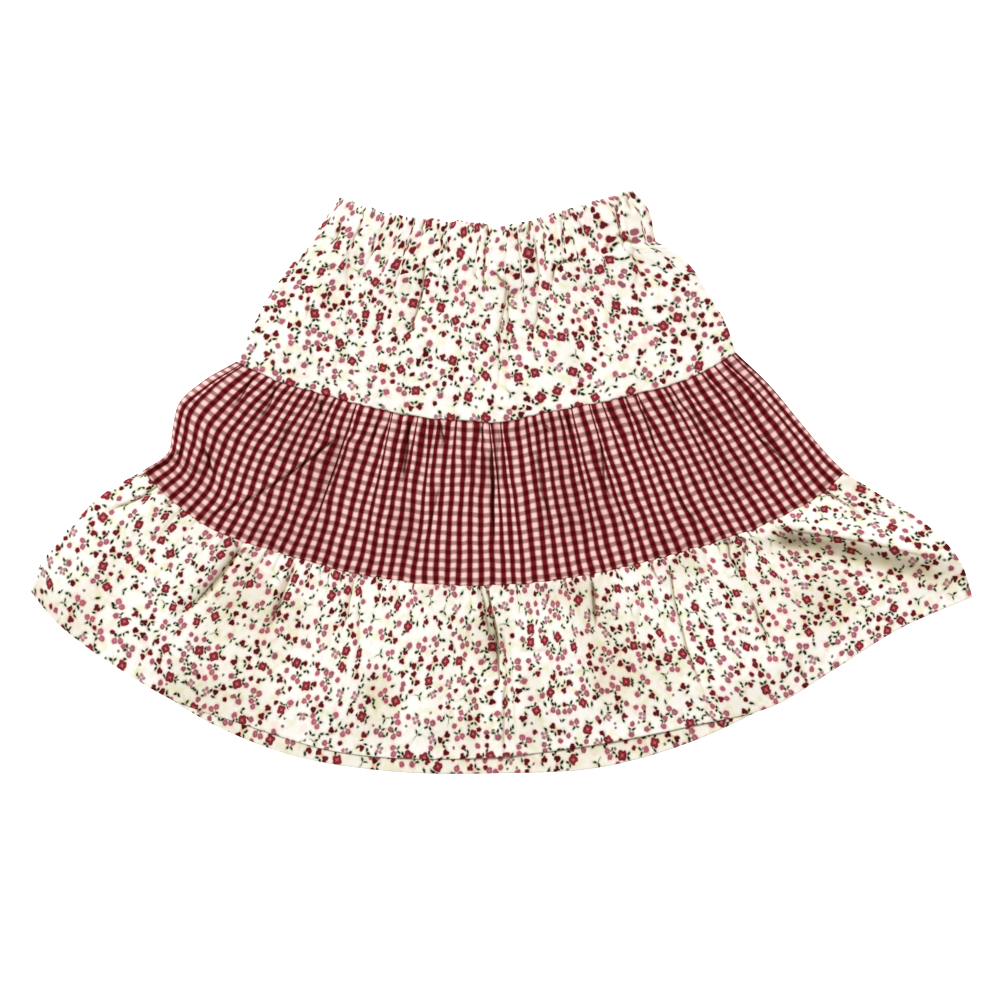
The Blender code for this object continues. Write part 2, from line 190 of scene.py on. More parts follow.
FOLD_FADE = 2.4  # and fades over the last 1 / 2.4 of it
FOLD_WANDER = 1.1  # how far a crease strays to either side of its curve
WANDER_BENDS = 5  # how often it does so
BELL_END = 2.5  # half widths from its crest at which a ridge has come down
CREASE_WIDTH = 0.95  # half width of the sharp line
DEEP_LINE = 1.5  # a sharp line of this depth gets the full painted shade
LINE_RELIEF = 0.6  # share of a line's depth that shows as relief, the rest lies closed
HOLLOW_SHADE = 0.36  # painted shade in a hollow, for each millimetre of its depth
PLEAT_WIDTH = 1.7  # half width of the cloth that goes into a crease
EASE = 17.0  # half width of the cloth that gives way beside a crease

# Gathers at a seam: how many, the height of the tallest, how far the longest runs, the depth of the
# deepest sharp line, the width of cloth that each swallows, and how many times further than the
# ridge that reaches
Gathers = namedtuple("Gathers", "count height reach crease hidden carry seed")
GATHERS = {
    "elastic": Gathers(24, 0.42, 24, 0.6, 5.4, 1, 3),
    "top_seam": Gathers(46, 1.2, 36, 0.8, 4.2, 3, 7),
    "low_seam": Gathers(44, 1.2, 26, 1.0, 3.0, 1.3, 11),
}

# What tells one gather from the next, and the form that they share
GATHER_STRAY = 0.34  # how far it stands from its even place, as a share of the spacing
TALL_POWER = 1.4  # above 1, low gathers are more common than tall ones
LONG_POWER = 1.6  # and short ones more common than long ones
SHORTEST = 0.25  # reach of the shortest, as a share of the longest
SLANT = 0.12  # how far one may lean, for each millimetre down
BLUNTEST = 0.2  # sharpness of the bluntest, as a share of the sharpest
SWALLOW_POWER = 3  # the sharpest swallow by far the most cloth
GATHER_LINE = 0.9  # half width of its sharp line
GATHER_WIDEN = 30.0  # depth by which it has doubled its width
GATHER_CREST = 0.30  # how far its ridge stands beside the line, as a share of the spacing
GATHER_SLOPES = (0.22, 0.30)  # and its half widths before and after that
GATHER_FADE = 1.5  # power by which it fades with the depth
CASING_CARRY = 0.3  # up the casing, the gathers of the elastic fade at this share of their pace
GATHER_PIN = 1.5  # depth over which a gather comes up from its seam
ABOVE_SEAM = 0.35  # share of a gather's height that puckers the tier above the seam
ABOVE_REACH = 0.3  # and the share of its reach

# Heights of the front, whose outer face rests on the back
CLOTH = 0.4  # one layer
REST = 3.0  # outer face where it lies on the back
LOWEST = 1.9  # lowest place of that face inside its edges
PUFF = 2.4  # rise in its middle
PUFF_REACH = 34.0  # over which it rises from a side edge
HEM_DROOP = 38.0  # over which the front comes down to its hem
SIDE_RISE = 8.0  # folds fade over this distance from a side edge
SEAM_RISE = 5.0  # and over this distance above a seam
CLIMB_START = 39.0  # how far above its hem the front starts to climb onto the turned-up hem
HEM_CLIMB = 14.0  # over which it climbs
TURNED = 0.5  # and how high
CASING_EXTRA = 1.2  # the casing is two layers and an elastic
CASING_EASE = 26.0  # over which the top tier comes down from it
Swell = namedtuple("Swell", "height seed")  # broad undulation of a tier
SWELLS = {"casing": Swell(0.2, 6), "top": Swell(0.25, 3), "middle": Swell(0.5, 6), "bottom": Swell(0.8, 6)}
SWELL_CELLS = (16, 3)  # how many swells fit across and down
SWELL_SHADE = 0.7  # painted shade in its hollows, for each millimetre of their depth
SWELL_RISE = 10.0  # over which it comes up from the seam above
FOLD_EDGE = 3.5  # radius of the turn at a side edge
EDGE_HEIGHT = 1.3  # height of the outer face at the side edges
EDGE_SHADE = 0.8  # width of the painted shade along a side edge of the gingham
SEAM_SHADE = 0.5  # painted shade in the turn below a seam
SEAM_REACH = 1.3  # and how far it reaches

# Heights of the back, whose outer face lies on the floor, and of its turned-up hem
BACK_RELIEF = 0.9  # how far gathers and swells hollow it off the floor at most
BACK_SWELL = 0.5  # how far the swells alone do
BACK_SWELL_CELLS = (12, 3)
BACK_SEED = 40  # added to the seed of the front's swells
BACK_SIDE = 0.35  # how far it turns up at a side edge
TURNING = 18.0  # depth of the turned-up hem
TURNING_TOP = 2.0  # height of its upper face
TURNING_DROP = 0.9  # how far that turns down at its ends and at the hem
TURNING_WAVE = 0.25  # how far it is uneven
TURNING_CELLS = (60, 2)
TURNING_SEED = 77
TURNING_EVEN = 1 / 3  # share of its depth over which that comes up from either edge
TURNING_SHADE = 0.5  # painted shade of the front's hem on it, where it starts
TURNING_LIT = 0.3  # and how much of that painted shade is gone by its lower edge
TURNING_ROWS = 16
HEM_EDGE = 1.1  # radius of the turn along the hem

# How far the cloth turns down at an edge, and over what radius
Turn = namedtuple("Turn", "drop radius")
TURNS = {
    "waist": Turn(2.4, 3.0),
    "elastic": Turn(0.0, 0.7),
    "top_seam": Turn(1.1, 1.3),
    "low_seam": Turn(1.1, 1.3),
    "front_hem": Turn(0.7, 1.1),
}

# How far the gathers draw an edge up and down, and how many times along it
Scallop = namedtuple("Scallop", "rise count seed")
SCALLOPS = {
    "waist": Scallop(1.2, 44, 21),
    "top_seam": Scallop(0.6, 95, 22),
    "low_seam": Scallop(0.7, 120, 23),
}
SCALLOP_RISE = 1 / 12  # share of the edge over which that comes up from each end

# Tiers from the waist down: node and cloth, the edges above and below (the back has a hem of its
# own), the folds, the cut width and depth, columns and rows of the front's and the back's grid, and
# how far across the roll of cloth the tier is cut
FLORAL = "printed_cotton_poplin"
GINGHAM = "yarn_dyed_gingham"
Tier = namedtuple("Tier", "node cloth upper lower back_lower folds cut depth front_grid back_grid start")
TIERS = {
    "casing": Tier("waist_casing", FLORAL, "waist", "elastic", "elastic", "upper", 400, 36,
                   (380, 40), (150, 14), -36),
    "top": Tier("top_tier", FLORAL, "elastic", "top_seam", "top_seam", "upper", 400, 113,
                (520, 92), (200, 40), 0),
    "middle": Tier("middle_tier", GINGHAM, "top_seam", "low_seam", "low_seam", "middle", 600, 124,
                   (560, 84), (240, 40), 700),
    "bottom": Tier("bottom_tier", FLORAL, "low_seam", "front_hem", "back_hem", "bottom", 860, 132,
                   (590, 82), (300, 44), 1400),
}
ROLL = {"front": 0.0, "back": 3.0}  # metres along the roll where the pieces of each side are cut
TURNING_ROLL = (5.0, -2.0)  # and the place of the turned-up hem on it

# A grid is crowded where its surface bends. The bend is probed on a fine grid that keeps off the seams
PROBE_COLUMNS = 2401
PROBE_ROWS = 14
PROBE_SPAN = (0.03, 0.97)
PROBE_BLUR = 9  # columns over which the bend is averaged
BEND_WEIGHT = 2.0  # how much a mean bend adds to the even share of columns
TURN_ROWS = (0, 0.12, 0.35, 0.7, 1.1)  # distances of the extra rows from an edge


# ---------------------------------------------------------------- surfaces


def smooth_line(stations, t):
    """Catmull-Rom curve through the stations, as across and up at each t from 0 to 1 of its length."""
    knots = np.array(stations, float)
    steps = np.hypot(*np.diff(knots, axis=0).T)
    along = np.concatenate([[0], np.cumsum(steps)]) / steps.sum()
    slopes = np.gradient(knots, along, axis=0)
    i = np.clip(np.searchsorted(along, t, side="right") - 1, 0, len(along) - 2)
    span = (along[i + 1] - along[i])[..., None]
    f = ((t - along[i]) / span[..., 0])[..., None]
    return (
        (1 + 2 * f) * (1 - f) ** 2 * knots[i]
        + f * (1 - f) ** 2 * slopes[i] * span
        + f**2 * (3 - 2 * f) * knots[i + 1]
        + f**2 * (f - 1) * slopes[i + 1] * span
    )


def edge_line(name, t):
    """A seam or edge at each t along it, drawn up and down a little where it is gathered."""
    line = smooth_line(EDGES[name], t)
    if name in SCALLOPS:
        scallop = SCALLOPS[name]
        wave = value_noise(t, np.zeros_like(t), scallop.count, 1, scallop.seed)
        line[..., 1] += scallop.rise * wave * ramp(t / SCALLOP_RISE) * ramp((1 - t) / SCALLOP_RISE)
    return line


def ramp(x):
    """0 below 0, 1 above 1, and smooth between them."""
    x = np.clip(x, 0, 1)
    return x * x * (3 - 2 * x)


def turned_edge(distance, radius):
    """How far a face has dropped at a distance from a rounded edge, as a share of the radius: a
    quarter circle from 1 at the edge to 0 one radius in."""
    inside = np.clip(1 - distance / radius, 0, 1)
    return 1 - np.sqrt(1 - inside**2)


def lower_edge(tier, side):
    """Name of the seam or hem below a tier, which is not the same on the back and the front."""
    return TIERS[tier].back_lower if side == "back" else TIERS[tier].lower


def ruled(tier, side, u, v):
    """Place on the floor of u across and v down a tier, on straight lines from the edge above it to
    the edge below."""
    shape = TIERS[tier]
    down = v[..., None]
    return (1 - down) * edge_line(shape.upper, u) + down * edge_line(lower_edge(tier, side), u)


def plan(tier, side, u, v):
    """Place on the floor of u across and v down a tier: the ruled place and, beside each side edge,
    what that edge bulges from its own straight line, which fades inwards."""
    across = u[..., None]
    down = v[..., None]
    places = ruled(tier, side, u, v)
    for end, inwards, between in ((0, 1 - across, SIDES[tier][0]), (-1, across, SIDES[tier][1])):
        first = EDGES[TIERS[tier].upper][end]
        last = EDGES[lower_edge(tier, side)][end]
        straight = (1 - down) * np.array(first) + down * np.array(last)
        places = places + inwards**BULGE_FADE * (smooth_line([first, *between, last], v) - straight)
    return places


def steps_across(places):
    """Distance from each place to the next one in its row."""
    return np.hypot(*np.diff(places[..., :2], axis=1).transpose(2, 0, 1))


def spread(tier, side, u, v):
    """A piece spread on the floor: its places, their distances from the edge above and the edge
    below, the length of their row, and their distance from the nearer side edge."""
    places = plan(tier, side, u, v)
    span = plan(tier, side, u, np.ones_like(v)) - plan(tier, side, u, np.zeros_like(v))
    whole = np.hypot(span[..., 0], span[..., 1])
    depth = v * whole
    row_length = steps_across(places).sum(axis=1)[:, None]
    return places, depth, whole - depth, row_length, np.minimum(u, 1 - u) * row_length


def bell(x):
    """A bell curve: 1 in its middle, 1 / e at 1 to either side."""
    return np.exp(-(x**2))


def swallow(away, width):
    """A bell curve across a crease, of a half width, with an area of 1 under it."""
    return bell(away / width) / (width * np.sqrt(np.pi))


def ridge(away, crest, before, after):
    """A ridge across a fold: a bell round the crest, with its own half width on each side."""
    return bell((away - crest) / np.where(away < crest, before, after))


def value_noise(u, v, cells_u, cells_v, seed):
    """Smooth random field from -1 to 1: a random value at each corner of a lattice, blended across
    each cell by the ramp."""
    lattice = np.random.default_rng(seed).uniform(-1, 1, (cells_v + 2, cells_u + 2))
    x = u * cells_u
    y = v * cells_v
    i = np.clip(x.astype(int), 0, cells_u)
    j = np.clip(y.astype(int), 0, cells_v)
    fx = ramp(x - i)
    fy = ramp(y - j)
    low = lattice[j, i] * (1 - fx) + lattice[j, i + 1] * fx
    high = lattice[j + 1, i] * (1 - fx) + lattice[j + 1, i + 1] * fx
    return low * (1 - fy) + high * fy


def fold_relief(places, folds):
    """Height of the single folds at each place, the cloth that they hide for each millimetre across,
    and the painted shade that their sharp creases and hollows lay there, from 0 to 1. The distance from
    a fold is measured across the tangent at the nearest sample of its curve."""
    height, hidden, painted_shade = np.zeros((3, *places.shape[:-1]))
    t = np.linspace(0, 1, FOLD_SAMPLES)
    for k, fold in enumerate(Fold(*row) for row in folds):
        path = smooth_line([(fold.x1, fold.y1), (fold.x2, fold.y2), (fold.x3, fold.y3)], t)
        tangent = np.gradient(path, axis=0)
        step = np.hypot(*tangent.T)
        tangent /= step[:, None]
        margin = abs(fold.crest) + BELL_END * (1 + fold.widen) * max(fold.before, fold.after)
        near = ((places > path.min(axis=0) - margin) & (places < path.max(axis=0) + margin)).all(axis=-1)
        off = places[near][:, None, :] - path
        nearest = (off**2).sum(axis=-1).argmin(axis=1)
        off = off[np.arange(len(off)), nearest]
        along = t[nearest] + (off * tangent[nearest]).sum(axis=1) / (step[nearest] * (FOLD_SAMPLES - 1))
        share = np.clip(along, 0, 1)
        away = tangent[nearest, 0] * off[:, 1] - tangent[nearest, 1] * off[:, 0]
        away = away + FOLD_WANDER * value_noise(share, np.zeros_like(along), WANDER_BENDS, 1, FOLD_SEED + k)
        taper = ramp(along * FOLD_RISE) * ramp((1 - along) * FOLD_FADE)
        wide = 1 + fold.widen * share
        soft = ridge(away, fold.crest * wide, fold.before * wide, fold.after * wide)
        line = taper * bell(away / CREASE_WIDTH)
        height[near] += taper * fold.height * soft - LINE_RELIEF * fold.line * line
        hidden[near] += taper * fold.hidden * swallow(away, PLEAT_WIDTH)
        # painted shade: the sharp line, and the hollow's depth times HOLLOW_SHADE
        painted_shade[near] += fold.line / DEEP_LINE * line + HOLLOW_SHADE * max(-fold.height, 0) * taper * soft
    return height, hidden, painted_shade


def gather_relief(seam, u, depth, row_length, scale=1.0, reach_scale=1.0):
    """Height of the gathers at a seam, the cloth that they hide for each millimetre across, and the
    painted shade of their sharp lines at each place. Each gather has its own place, height, reach, slant
    and sharpness. It is a ridge beside a sharp line, which widens and fades with the depth."""
    gathers = GATHERS[seam]
    count = gathers.count
    uneven = np.random.default_rng(gathers.seed)
    start = (np.arange(count) + 0.5 + uneven.uniform(-GATHER_STRAY, GATHER_STRAY, count)) / count
    tall = gathers.height * uneven.uniform(0, 1, count) ** TALL_POWER
    length = SHORTEST + (1 - SHORTEST) * uneven.uniform(0, 1, count) ** LONG_POWER
    reach = gathers.reach * length * reach_scale
    slant = uneven.uniform(-SLANT, SLANT, count)
    sharpness = uneven.uniform(BLUNTEST, 1.0, count)
    swallowed = gathers.hidden * sharpness**SWALLOW_POWER / (sharpness**SWALLOW_POWER).mean()
    spacing = row_length / count
    widen = 1 + depth / GATHER_WIDEN
    before, after = (spacing * slope * widen for slope in GATHER_SLOPES)
    height, hidden, painted_shade = np.zeros((3, *depth.shape))
    for k in range(count):
        fade = np.exp(-((depth / reach[k]) ** GATHER_FADE))
        lasting = np.exp(-((depth / (gathers.carry * reach[k])) ** GATHER_FADE))
        away = (u - start[k]) * row_length - slant[k] * depth
        line = gathers.crease * sharpness[k] * bell(away / (GATHER_LINE * widen))
        raised = tall[k] * ridge(away, GATHER_CREST * spacing, before, after)
        height += fade * scale * (raised - LINE_RELIEF * line)
        hidden += lasting * swallowed[k] * swallow(away, GATHER_LINE * widen)
        # painted shade in the sharp line
        painted_shade += fade * line / DEEP_LINE
    return height, hidden, painted_shade


def own_gathers(tier, u, depth, to_end, row_length):
    """Relief of the gathers that a tier hangs from. The casing's run up from the elastic's lower edge."""
    if tier == "casing":
        return gather_relief("elastic", u, CASING_CARRY * to_end, row_length)
    return gather_relief(TIERS[tier].upper, u, depth, row_length)


def front_surface(tier, u, v):
    """Outer face of a front piece at u across and v down it, the cloth hidden for each millimetre
    across, and the painted shade at each place: in creases, in the hollows of folds and swells, along
    the gingham's side edges and in the turn below a seam. It rests on the back, puffs up in its middle,
    swells broadly, carries its folds and gathers, and turns down at its sides and seams."""
    shape = TIERS[tier]
    places, depth, to_end, row_length, from_side = spread(tier, "front", u, v)
    relief, hidden, painted_shade = fold_relief(places, FOLDS[shape.folds])
    gathers, swallowed, lines = own_gathers(tier, u, depth, to_end, row_length)
    swell = SWELLS[tier].height * value_noise(u, v, *SWELL_CELLS, SWELLS[tier].seed)
    swell = swell * ramp((to_end if tier == "casing" else depth) / SWELL_RISE)
    relief = relief + gathers + swell
    # painted shade in the gathers' sharp lines and in the swells' hollows
    painted_shade = painted_shade + lines + SWELL_SHADE * np.maximum(-swell, 0)
    if tier in ("top", "middle"):
        above, _, _ = gather_relief(shape.lower, u, to_end, row_length, ABOVE_SEAM, ABOVE_REACH)
        relief = (relief + above * ramp(to_end / GATHER_PIN)) * ramp(to_end / SEAM_RISE)
    if tier != "top":
        relief = relief * ramp(depth / GATHER_PIN)

    rest = REST
    lowest = LOWEST
    puff = PUFF * ramp(from_side / PUFF_REACH)
    if tier == "casing":
        rest = REST + CASING_EXTRA
    if tier == "top":
        rest = REST + CASING_EXTRA * (1 - ramp(depth / CASING_EASE))
    if tier == "bottom":
        climbed = TURNED * ramp((CLIMB_START - to_end) / HEM_CLIMB)
        rest = REST + climbed
        lowest = LOWEST + climbed
        puff = puff * ramp(to_end / HEM_DROOP)
    z = np.maximum(rest + puff + ramp(from_side / SIDE_RISE) * relief, lowest)
    z = z - (z - EDGE_HEIGHT) * turned_edge(from_side, FOLD_EDGE)
    for distance, turn in ((depth, TURNS[shape.upper]), (to_end, TURNS[shape.lower])):
        z = z - np.minimum(turn.drop, z - EDGE_HEIGHT) * turned_edge(distance, turn.radius)
    # painted shade along the gingham's side edges, and in the turn below a seam
    if tier == "middle":
        painted_shade = painted_shade + bell(from_side / EDGE_SHADE)
    if tier in ("middle", "bottom"):
        painted_shade = painted_shade + SEAM_SHADE * bell(depth / SEAM_REACH)
    return np.dstack([places, z]), hidden + swallowed, np.clip(painted_shade, 0, 1)


def back_surface(tier, u, v):
    """Outer face of a back piece, which lies on the floor. Its gathers hollow it off the floor, and
    it turns up at its sides to meet the front."""
    places, depth, to_end, row_length, from_side = spread(tier, "back", u, v)
    gathers, hidden, painted_shade = own_gathers(tier, 1 - u, depth, to_end, row_length)
    swell = value_noise(u, v, *BACK_SWELL_CELLS, BACK_SEED + SWELLS[tier].seed)
    hollow = np.clip(gathers + BACK_SWELL * np.maximum(swell, 0), 0, BACK_RELIEF)
    z = hollow * ramp(from_side / SIDE_RISE) + BACK_SIDE * turned_edge(from_side, FOLD_EDGE)
    # the last value is the painted shade of the gathers' sharp lines
    return np.dstack([places, z]), hidden, np.clip(painted_shade, 0, 1)


def turning_surface(u, v):
    """Upper face of the turned-up hem of the back: its lowest strip, moved up onto it. It gets painted
    shade for the front's hem above it, less towards its own hem."""
    share = TURNING / TIERS["bottom"].depth
    places, _, _, _, from_side = spread("bottom", "back", u, 1 - share + v * share)
    wave = TURNING_WAVE * value_noise(u, v, *TURNING_CELLS, TURNING_SEED)
    z = TURNING_TOP + wave * ramp(v / TURNING_EVEN) * ramp((1 - v) / TURNING_EVEN)
    z = z - TURNING_DROP * turned_edge(from_side, FOLD_EDGE)
    z = z - TURNING_DROP * turned_edge((1 - v) * TURNING, HEM_EDGE)
    # the last value is the painted shade under the front's hem
    return np.dstack([places, z]), np.zeros_like(u), TURNING_SHADE - TURNING_LIT * v


def crowded_columns(surface, count):
    """count + 1 places across a piece, crowded at its folds: equal shares of the running total of one
    plus the root of the bend against its mean. The bend at a place is the largest second difference
    of the height there."""
    u, v = np.meshgrid(np.linspace(0, 1, PROBE_COLUMNS), np.linspace(*PROBE_SPAN, PROBE_ROWS))
    bend = np.abs(np.diff(surface(u, v)[0][..., 2], 2, axis=1)).max(axis=0)
    bend = np.pad(bend, PROBE_BLUR // 2 + 1, mode="edge")
    bend = np.convolve(bend, np.ones(PROBE_BLUR) / PROBE_BLUR, mode="valid")
    weight = 1 + BEND_WEIGHT * np.sqrt(bend / bend.mean())
    total = np.concatenate([[0], np.cumsum(weight[1:] + weight[:-1])])
    return np.interp(np.linspace(0, total[-1], count + 1), total, u[0])


def edged_rows(count, depth):
    """count + 1 places down a piece: even, with extra rows in the turn at both edges."""
    turn = np.array(TURN_ROWS) / depth
    even = np.linspace(turn[-1], 1 - turn[-1], count + 1 - 2 * (len(turn) - 1))
    return np.concatenate([turn[:-1], even, 1 - turn[-2::-1]])


def cloth_map(points, hidden, cut, depth, u, v):
    """UV map in metres of cloth, so that a pattern keeps its real size. A point's place on the cloth
    is its share across and down its piece, so that threads follow the side edges. At each crease it
    gains the cloth that the crease hides, taken evenly from the cloth within reach on both sides."""
    steps = steps_across(points)
    start = np.zeros((len(points), 1))
    along = np.concatenate([start, np.cumsum(steps, axis=1)], axis=1)
    taken = steps * (hidden[:, 1:] + hidden[:, :-1]) / 2
    swallowed = np.concatenate([start, np.cumsum(taken, axis=1)], axis=1)
    across = u * cut + swallowed
    far = 3 * EASE  # where the bell has come down
    reach = bell(np.arange(-far, far + 1) / EASE)
    reach = reach / reach.sum()
    for row, place, total in zip(across, along, swallowed):
        even = np.arange(-far, place[-1] + far + 1)
        row -= np.interp(place, even, np.convolve(np.interp(even, place, total), reach, "same"))
    return np.dstack([across, -v * depth]) * MM


def centred(points):
    """Points with the middle of the whole skirt's outline at the origin, as the CAD box has it."""
    t = np.linspace(0, 1, EDGE_SAMPLES)
    highest = smooth_line(EDGES["waist"], t)[:, 1].max()
    lowest = smooth_line(EDGES["back_hem"], t)[:, 1].min()
    return points - np.array([0, (highest + lowest) / 2, 0])


def cloth_mesh(name, points, uv, painted_shade, cloth, faces_down=False):
    """A grid of points as a mesh with its UV map, smooth faces, the painted shade of each point as an
    attribute, and a wall of the cloth's thickness under its outer face."""
    rows, columns = points.shape[:2]
    index = np.arange(rows * columns).reshape(rows, columns)
    quads = np.stack([index[:-1, :-1], index[1:, :-1], index[1:, 1:], index[:-1, 1:]], axis=-1).reshape(-1, 4)
    if faces_down:
        quads = quads[:, ::-1]
    mesh = bpy.data.meshes.new(name)
    mesh.vertices.add(rows * columns)
    mesh.vertices.foreach_set("co", (centred(points).reshape(-1, 3) * MM).ravel())
    mesh.loops.add(quads.size)
    mesh.loops.foreach_set("vertex_index", quads.ravel())
    mesh.polygons.add(len(quads))
    mesh.polygons.foreach_set("loop_start", np.arange(len(quads)) * 4)
    mesh.polygons.foreach_set("use_smooth", np.ones(len(quads), bool))
    mesh.update(calc_edges=True)
    layer = mesh.uv_layers.new(name="cloth")
    layer.data.foreach_set("uv", uv.reshape(-1, 2)[quads.ravel()].ravel())
    # the crease attribute holds the painted shade of creases, hollows, edges and seams, which the cotton
    # multiplies into its colour
    mesh.attributes.new("crease", "FLOAT", "POINT").data.foreach_set("value", painted_shade.ravel())

    # the edges on the border stay sharp
    ends = np.zeros(2 * len(mesh.edges), np.int32)
    mesh.edges.foreach_get("vertices", ends)
    row, column = np.divmod(ends.reshape(-1, 2), columns)
    borders = ((row, 0), (row, rows - 1), (column, 0), (column, columns - 1))
    on_border = np.any([(place == border).all(axis=1) for place, border in borders], axis=0)
    mesh.attributes.new("sharp_edge", "BOOLEAN", "EDGE").data.foreach_set("value", on_border)

    mesh.materials.append(cotton(cloth))
    piece = bpy.data.objects.new(name, mesh)
    bpy.context.scene.collection.objects.link(piece)
    wall = piece.modifiers.new("cloth", "SOLIDIFY")
    wall.thickness = CLOTH * MM
    wall.offset = -1
    return piece


def seat(piece, node):
    """Puts a finished piece of cloth in the place of its CAD node."""
    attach(piece, "root")
    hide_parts(node)


def lay(tier, side):
    """The front or back of a tier as cloth, in the place of its CAD node. A front rests on its back,
    and a back lies face down on the floor."""
    shape = TIERS[tier]
    front = side == "front"
    surface = front_surface if front else back_surface
    columns, rows = shape.front_grid if front else shape.back_grid
    across = crowded_columns(lambda u, v: surface(tier, u, v), columns)
    u, v = np.meshgrid(across, edged_rows(rows, shape.depth))
    points, hidden, painted_shade = surface(tier, u, v)
    uv = cloth_map(points, hidden, shape.cut, shape.depth, u, v) + np.array([ROLL[side], -shape.start * MM])
    node = shape.node + "_" + side
    piece = cloth_mesh(node + "_cloth", points, uv, painted_shade, shape.cloth, faces_down=not front)
    seat(piece, node)


def lay_turning():
    """The hem allowance of the back, turned up inside."""
    shape = TIERS["bottom"]
    columns, _ = shape.back_grid
    u, v = np.meshgrid(np.linspace(0, 1, columns + 1), edged_rows(TURNING_ROWS, TURNING))
    points, hidden, painted_shade = turning_surface(u, v)
    uv = cloth_map(points, hidden, shape.cut, TURNING, u, v) + np.array(TURNING_ROLL)
    piece = cloth_mesh("back_hem_turning_cloth", points, uv, painted_shade, shape.cloth)
    seat(piece, "back_hem_turning")


# ---------------------------------------------------------------- materials


def linear(colour):
    """A colour given as an sRGB hex string, as linear red, green, blue and alpha."""
    values = [int(colour[i:i + 2], 16) / 255 for i in (1, 3, 5)]
    return tuple(c / 12.92 if c <= 0.04045 else ((c + 0.055) / 1.055) ** 2.4 for c in values) + (1.0,)


def add(tree, kind, inputs=(), **settings):
    """Adds a node of the kind, gives it its settings and its inputs, in order or by name, each a
    value or a socket to link, and returns its first output."""
    made = tree.nodes.new("ShaderNode" + kind)
    for name, value in settings.items():
        setattr(made, name, value)
    for socket, value in inputs.items() if isinstance(inputs, dict) else enumerate(inputs):
        if isinstance(value, bpy.types.NodeSocket):
            tree.links.new(value, made.inputs[socket])
        else:
            made.inputs[socket].default_value = value
    return made.outputs[0]


NEAR = 4.0  # millimetres over which a nearness runs from 0 to 1
INK_RIM = 0.85  # width of the soft rim of a printed shape, in millimetres
SWING = 6.2  # a motif may face almost any way


def oval(tree, place, centre, radii, angle=0.0):
    """How near a place is to an oval: 0.5 at its rim, up to 1 inside it, and 0 from 2 mm outside it."""
    local = add(tree, "Mapping", {"Vector": place, "Location": (*centre, 0), "Rotation": (0, 0, angle),
                                  "Scale": (*radii, 1)}, vector_type="TEXTURE")
    length = add(tree, "VectorMath", (local,), operation="LENGTH").node.outputs["Value"]
    rim = min(radii) / NEAR
    return add(tree, "Math", (length, -rim, rim + 0.5), operation="MULTIPLY_ADD", use_clamp=True)


def printed(tree, base, nearness, colour):
    """The base with an ink of a colour over it on the shapes that a nearness gives, with a soft rim."""
    ink = add(tree, "Math", (nearness, NEAR / INK_RIM, 0.5 - NEAR / 2 / INK_RIM), operation="MULTIPLY_ADD",
              use_clamp=True)
    return painted(tree, base, ink, colour)


def either(tree, *masks):
    """Nearness of several shapes together: the largest of theirs."""
    total = masks[0]
    for mask in masks[1:]:
        total = add(tree, "Math", (total, mask), operation="MAXIMUM")
    return total


def both(tree, *masks):
    """A nearness with masks that leave some of it out: their product."""
    total = masks[0]
    for mask in masks[1:]:
        total = add(tree, "Math", (total, mask), operation="MULTIPLY")
    return total


def chosen(tree, lot, low, high):
    """1 where a random lot from 0 to 1 falls between low and high, else 0."""
    middle = (low + high) / 2
    return add(tree, "Math", (lot, middle, (high - low) / 2), operation="COMPARE")


def painted(tree, base, mask, colour):
    """The base with a colour, or another socket's colour, laid over it where the mask is 1."""
    mixed = add(tree, "Mix", {0: mask, 6: base, 7: colour}, data_type="RGBA")
    return mixed.node.outputs[2]


def motif_cells(tree, place, cell, randomness):
    """A scatter of one point in each cell, in millimetres: the place relative to the nearest point,
    three random lots for it, and where the point is."""
    scaled = add(tree, "VectorMath", {0: place, "Scale": 1 / cell}, operation="SCALE")
    voronoi = add(tree, "TexVoronoi", {"Vector": scaled, "Scale": 1.0, "Randomness": randomness},
                  voronoi_dimensions="2D").node
    point = voronoi.outputs["Position"]
    off = add(tree, "VectorMath", (scaled, point), operation="SUBTRACT")
    off = add(tree, "VectorMath", {0: off, "Scale": cell}, operation="SCALE")
    lots = add(tree, "SeparateColor", (voronoi.outputs["Color"],)).node.outputs
    home = add(tree, "VectorMath", {0: point, "Scale": cell}, operation="SCALE")
    return off, lots[:3], home


def turned(tree, off, lot):
    """A place turned about its cell's point by a random angle, up to half the swing either way."""
    angle = add(tree, "Math", (lot, SWING, -SWING / 2), operation="MULTIPLY_ADD")
    return add(tree, "VectorRotate", {"Vector": off, "Angle": angle}, rotation_type="Z_AXIS")


def drifted(tree, place, scale, reach, detail):
    """A place moved aside by a smooth noise of a scale, up to half the reach each way."""
    noise = add(tree, "TexNoise", {"Vector": place, "Scale": scale, "Detail": detail}).node.outputs["Color"]
    aside = add(tree, "VectorMath", (noise, (reach, reach, 0.0), (-reach / 2, -reach / 2, 0.0)),
                operation="MULTIPLY_ADD")
    return add(tree, "VectorMath", (place, aside), operation="ADD")


def mirrored(tree, place, left_right=True, up_down=True):
    """A place folded onto its positive side, so that a shape drawn once shows twice or four times."""
    folded = add(tree, "VectorMath", (place,), operation="ABSOLUTE")
    if left_right and up_down:
        return folded
    x = add(tree, "SeparateXYZ", (folded if left_right else place,)).node.outputs[0]
    y = add(tree, "SeparateXYZ", (folded if up_down else place,)).node.outputs[1]
    return add(tree, "CombineXYZ", (x, y))


THREADS = 450.0  # scale at which a thread is drawn every 0.7 mm
SLUB = 90.0  # scale of the unevenness of the yarn


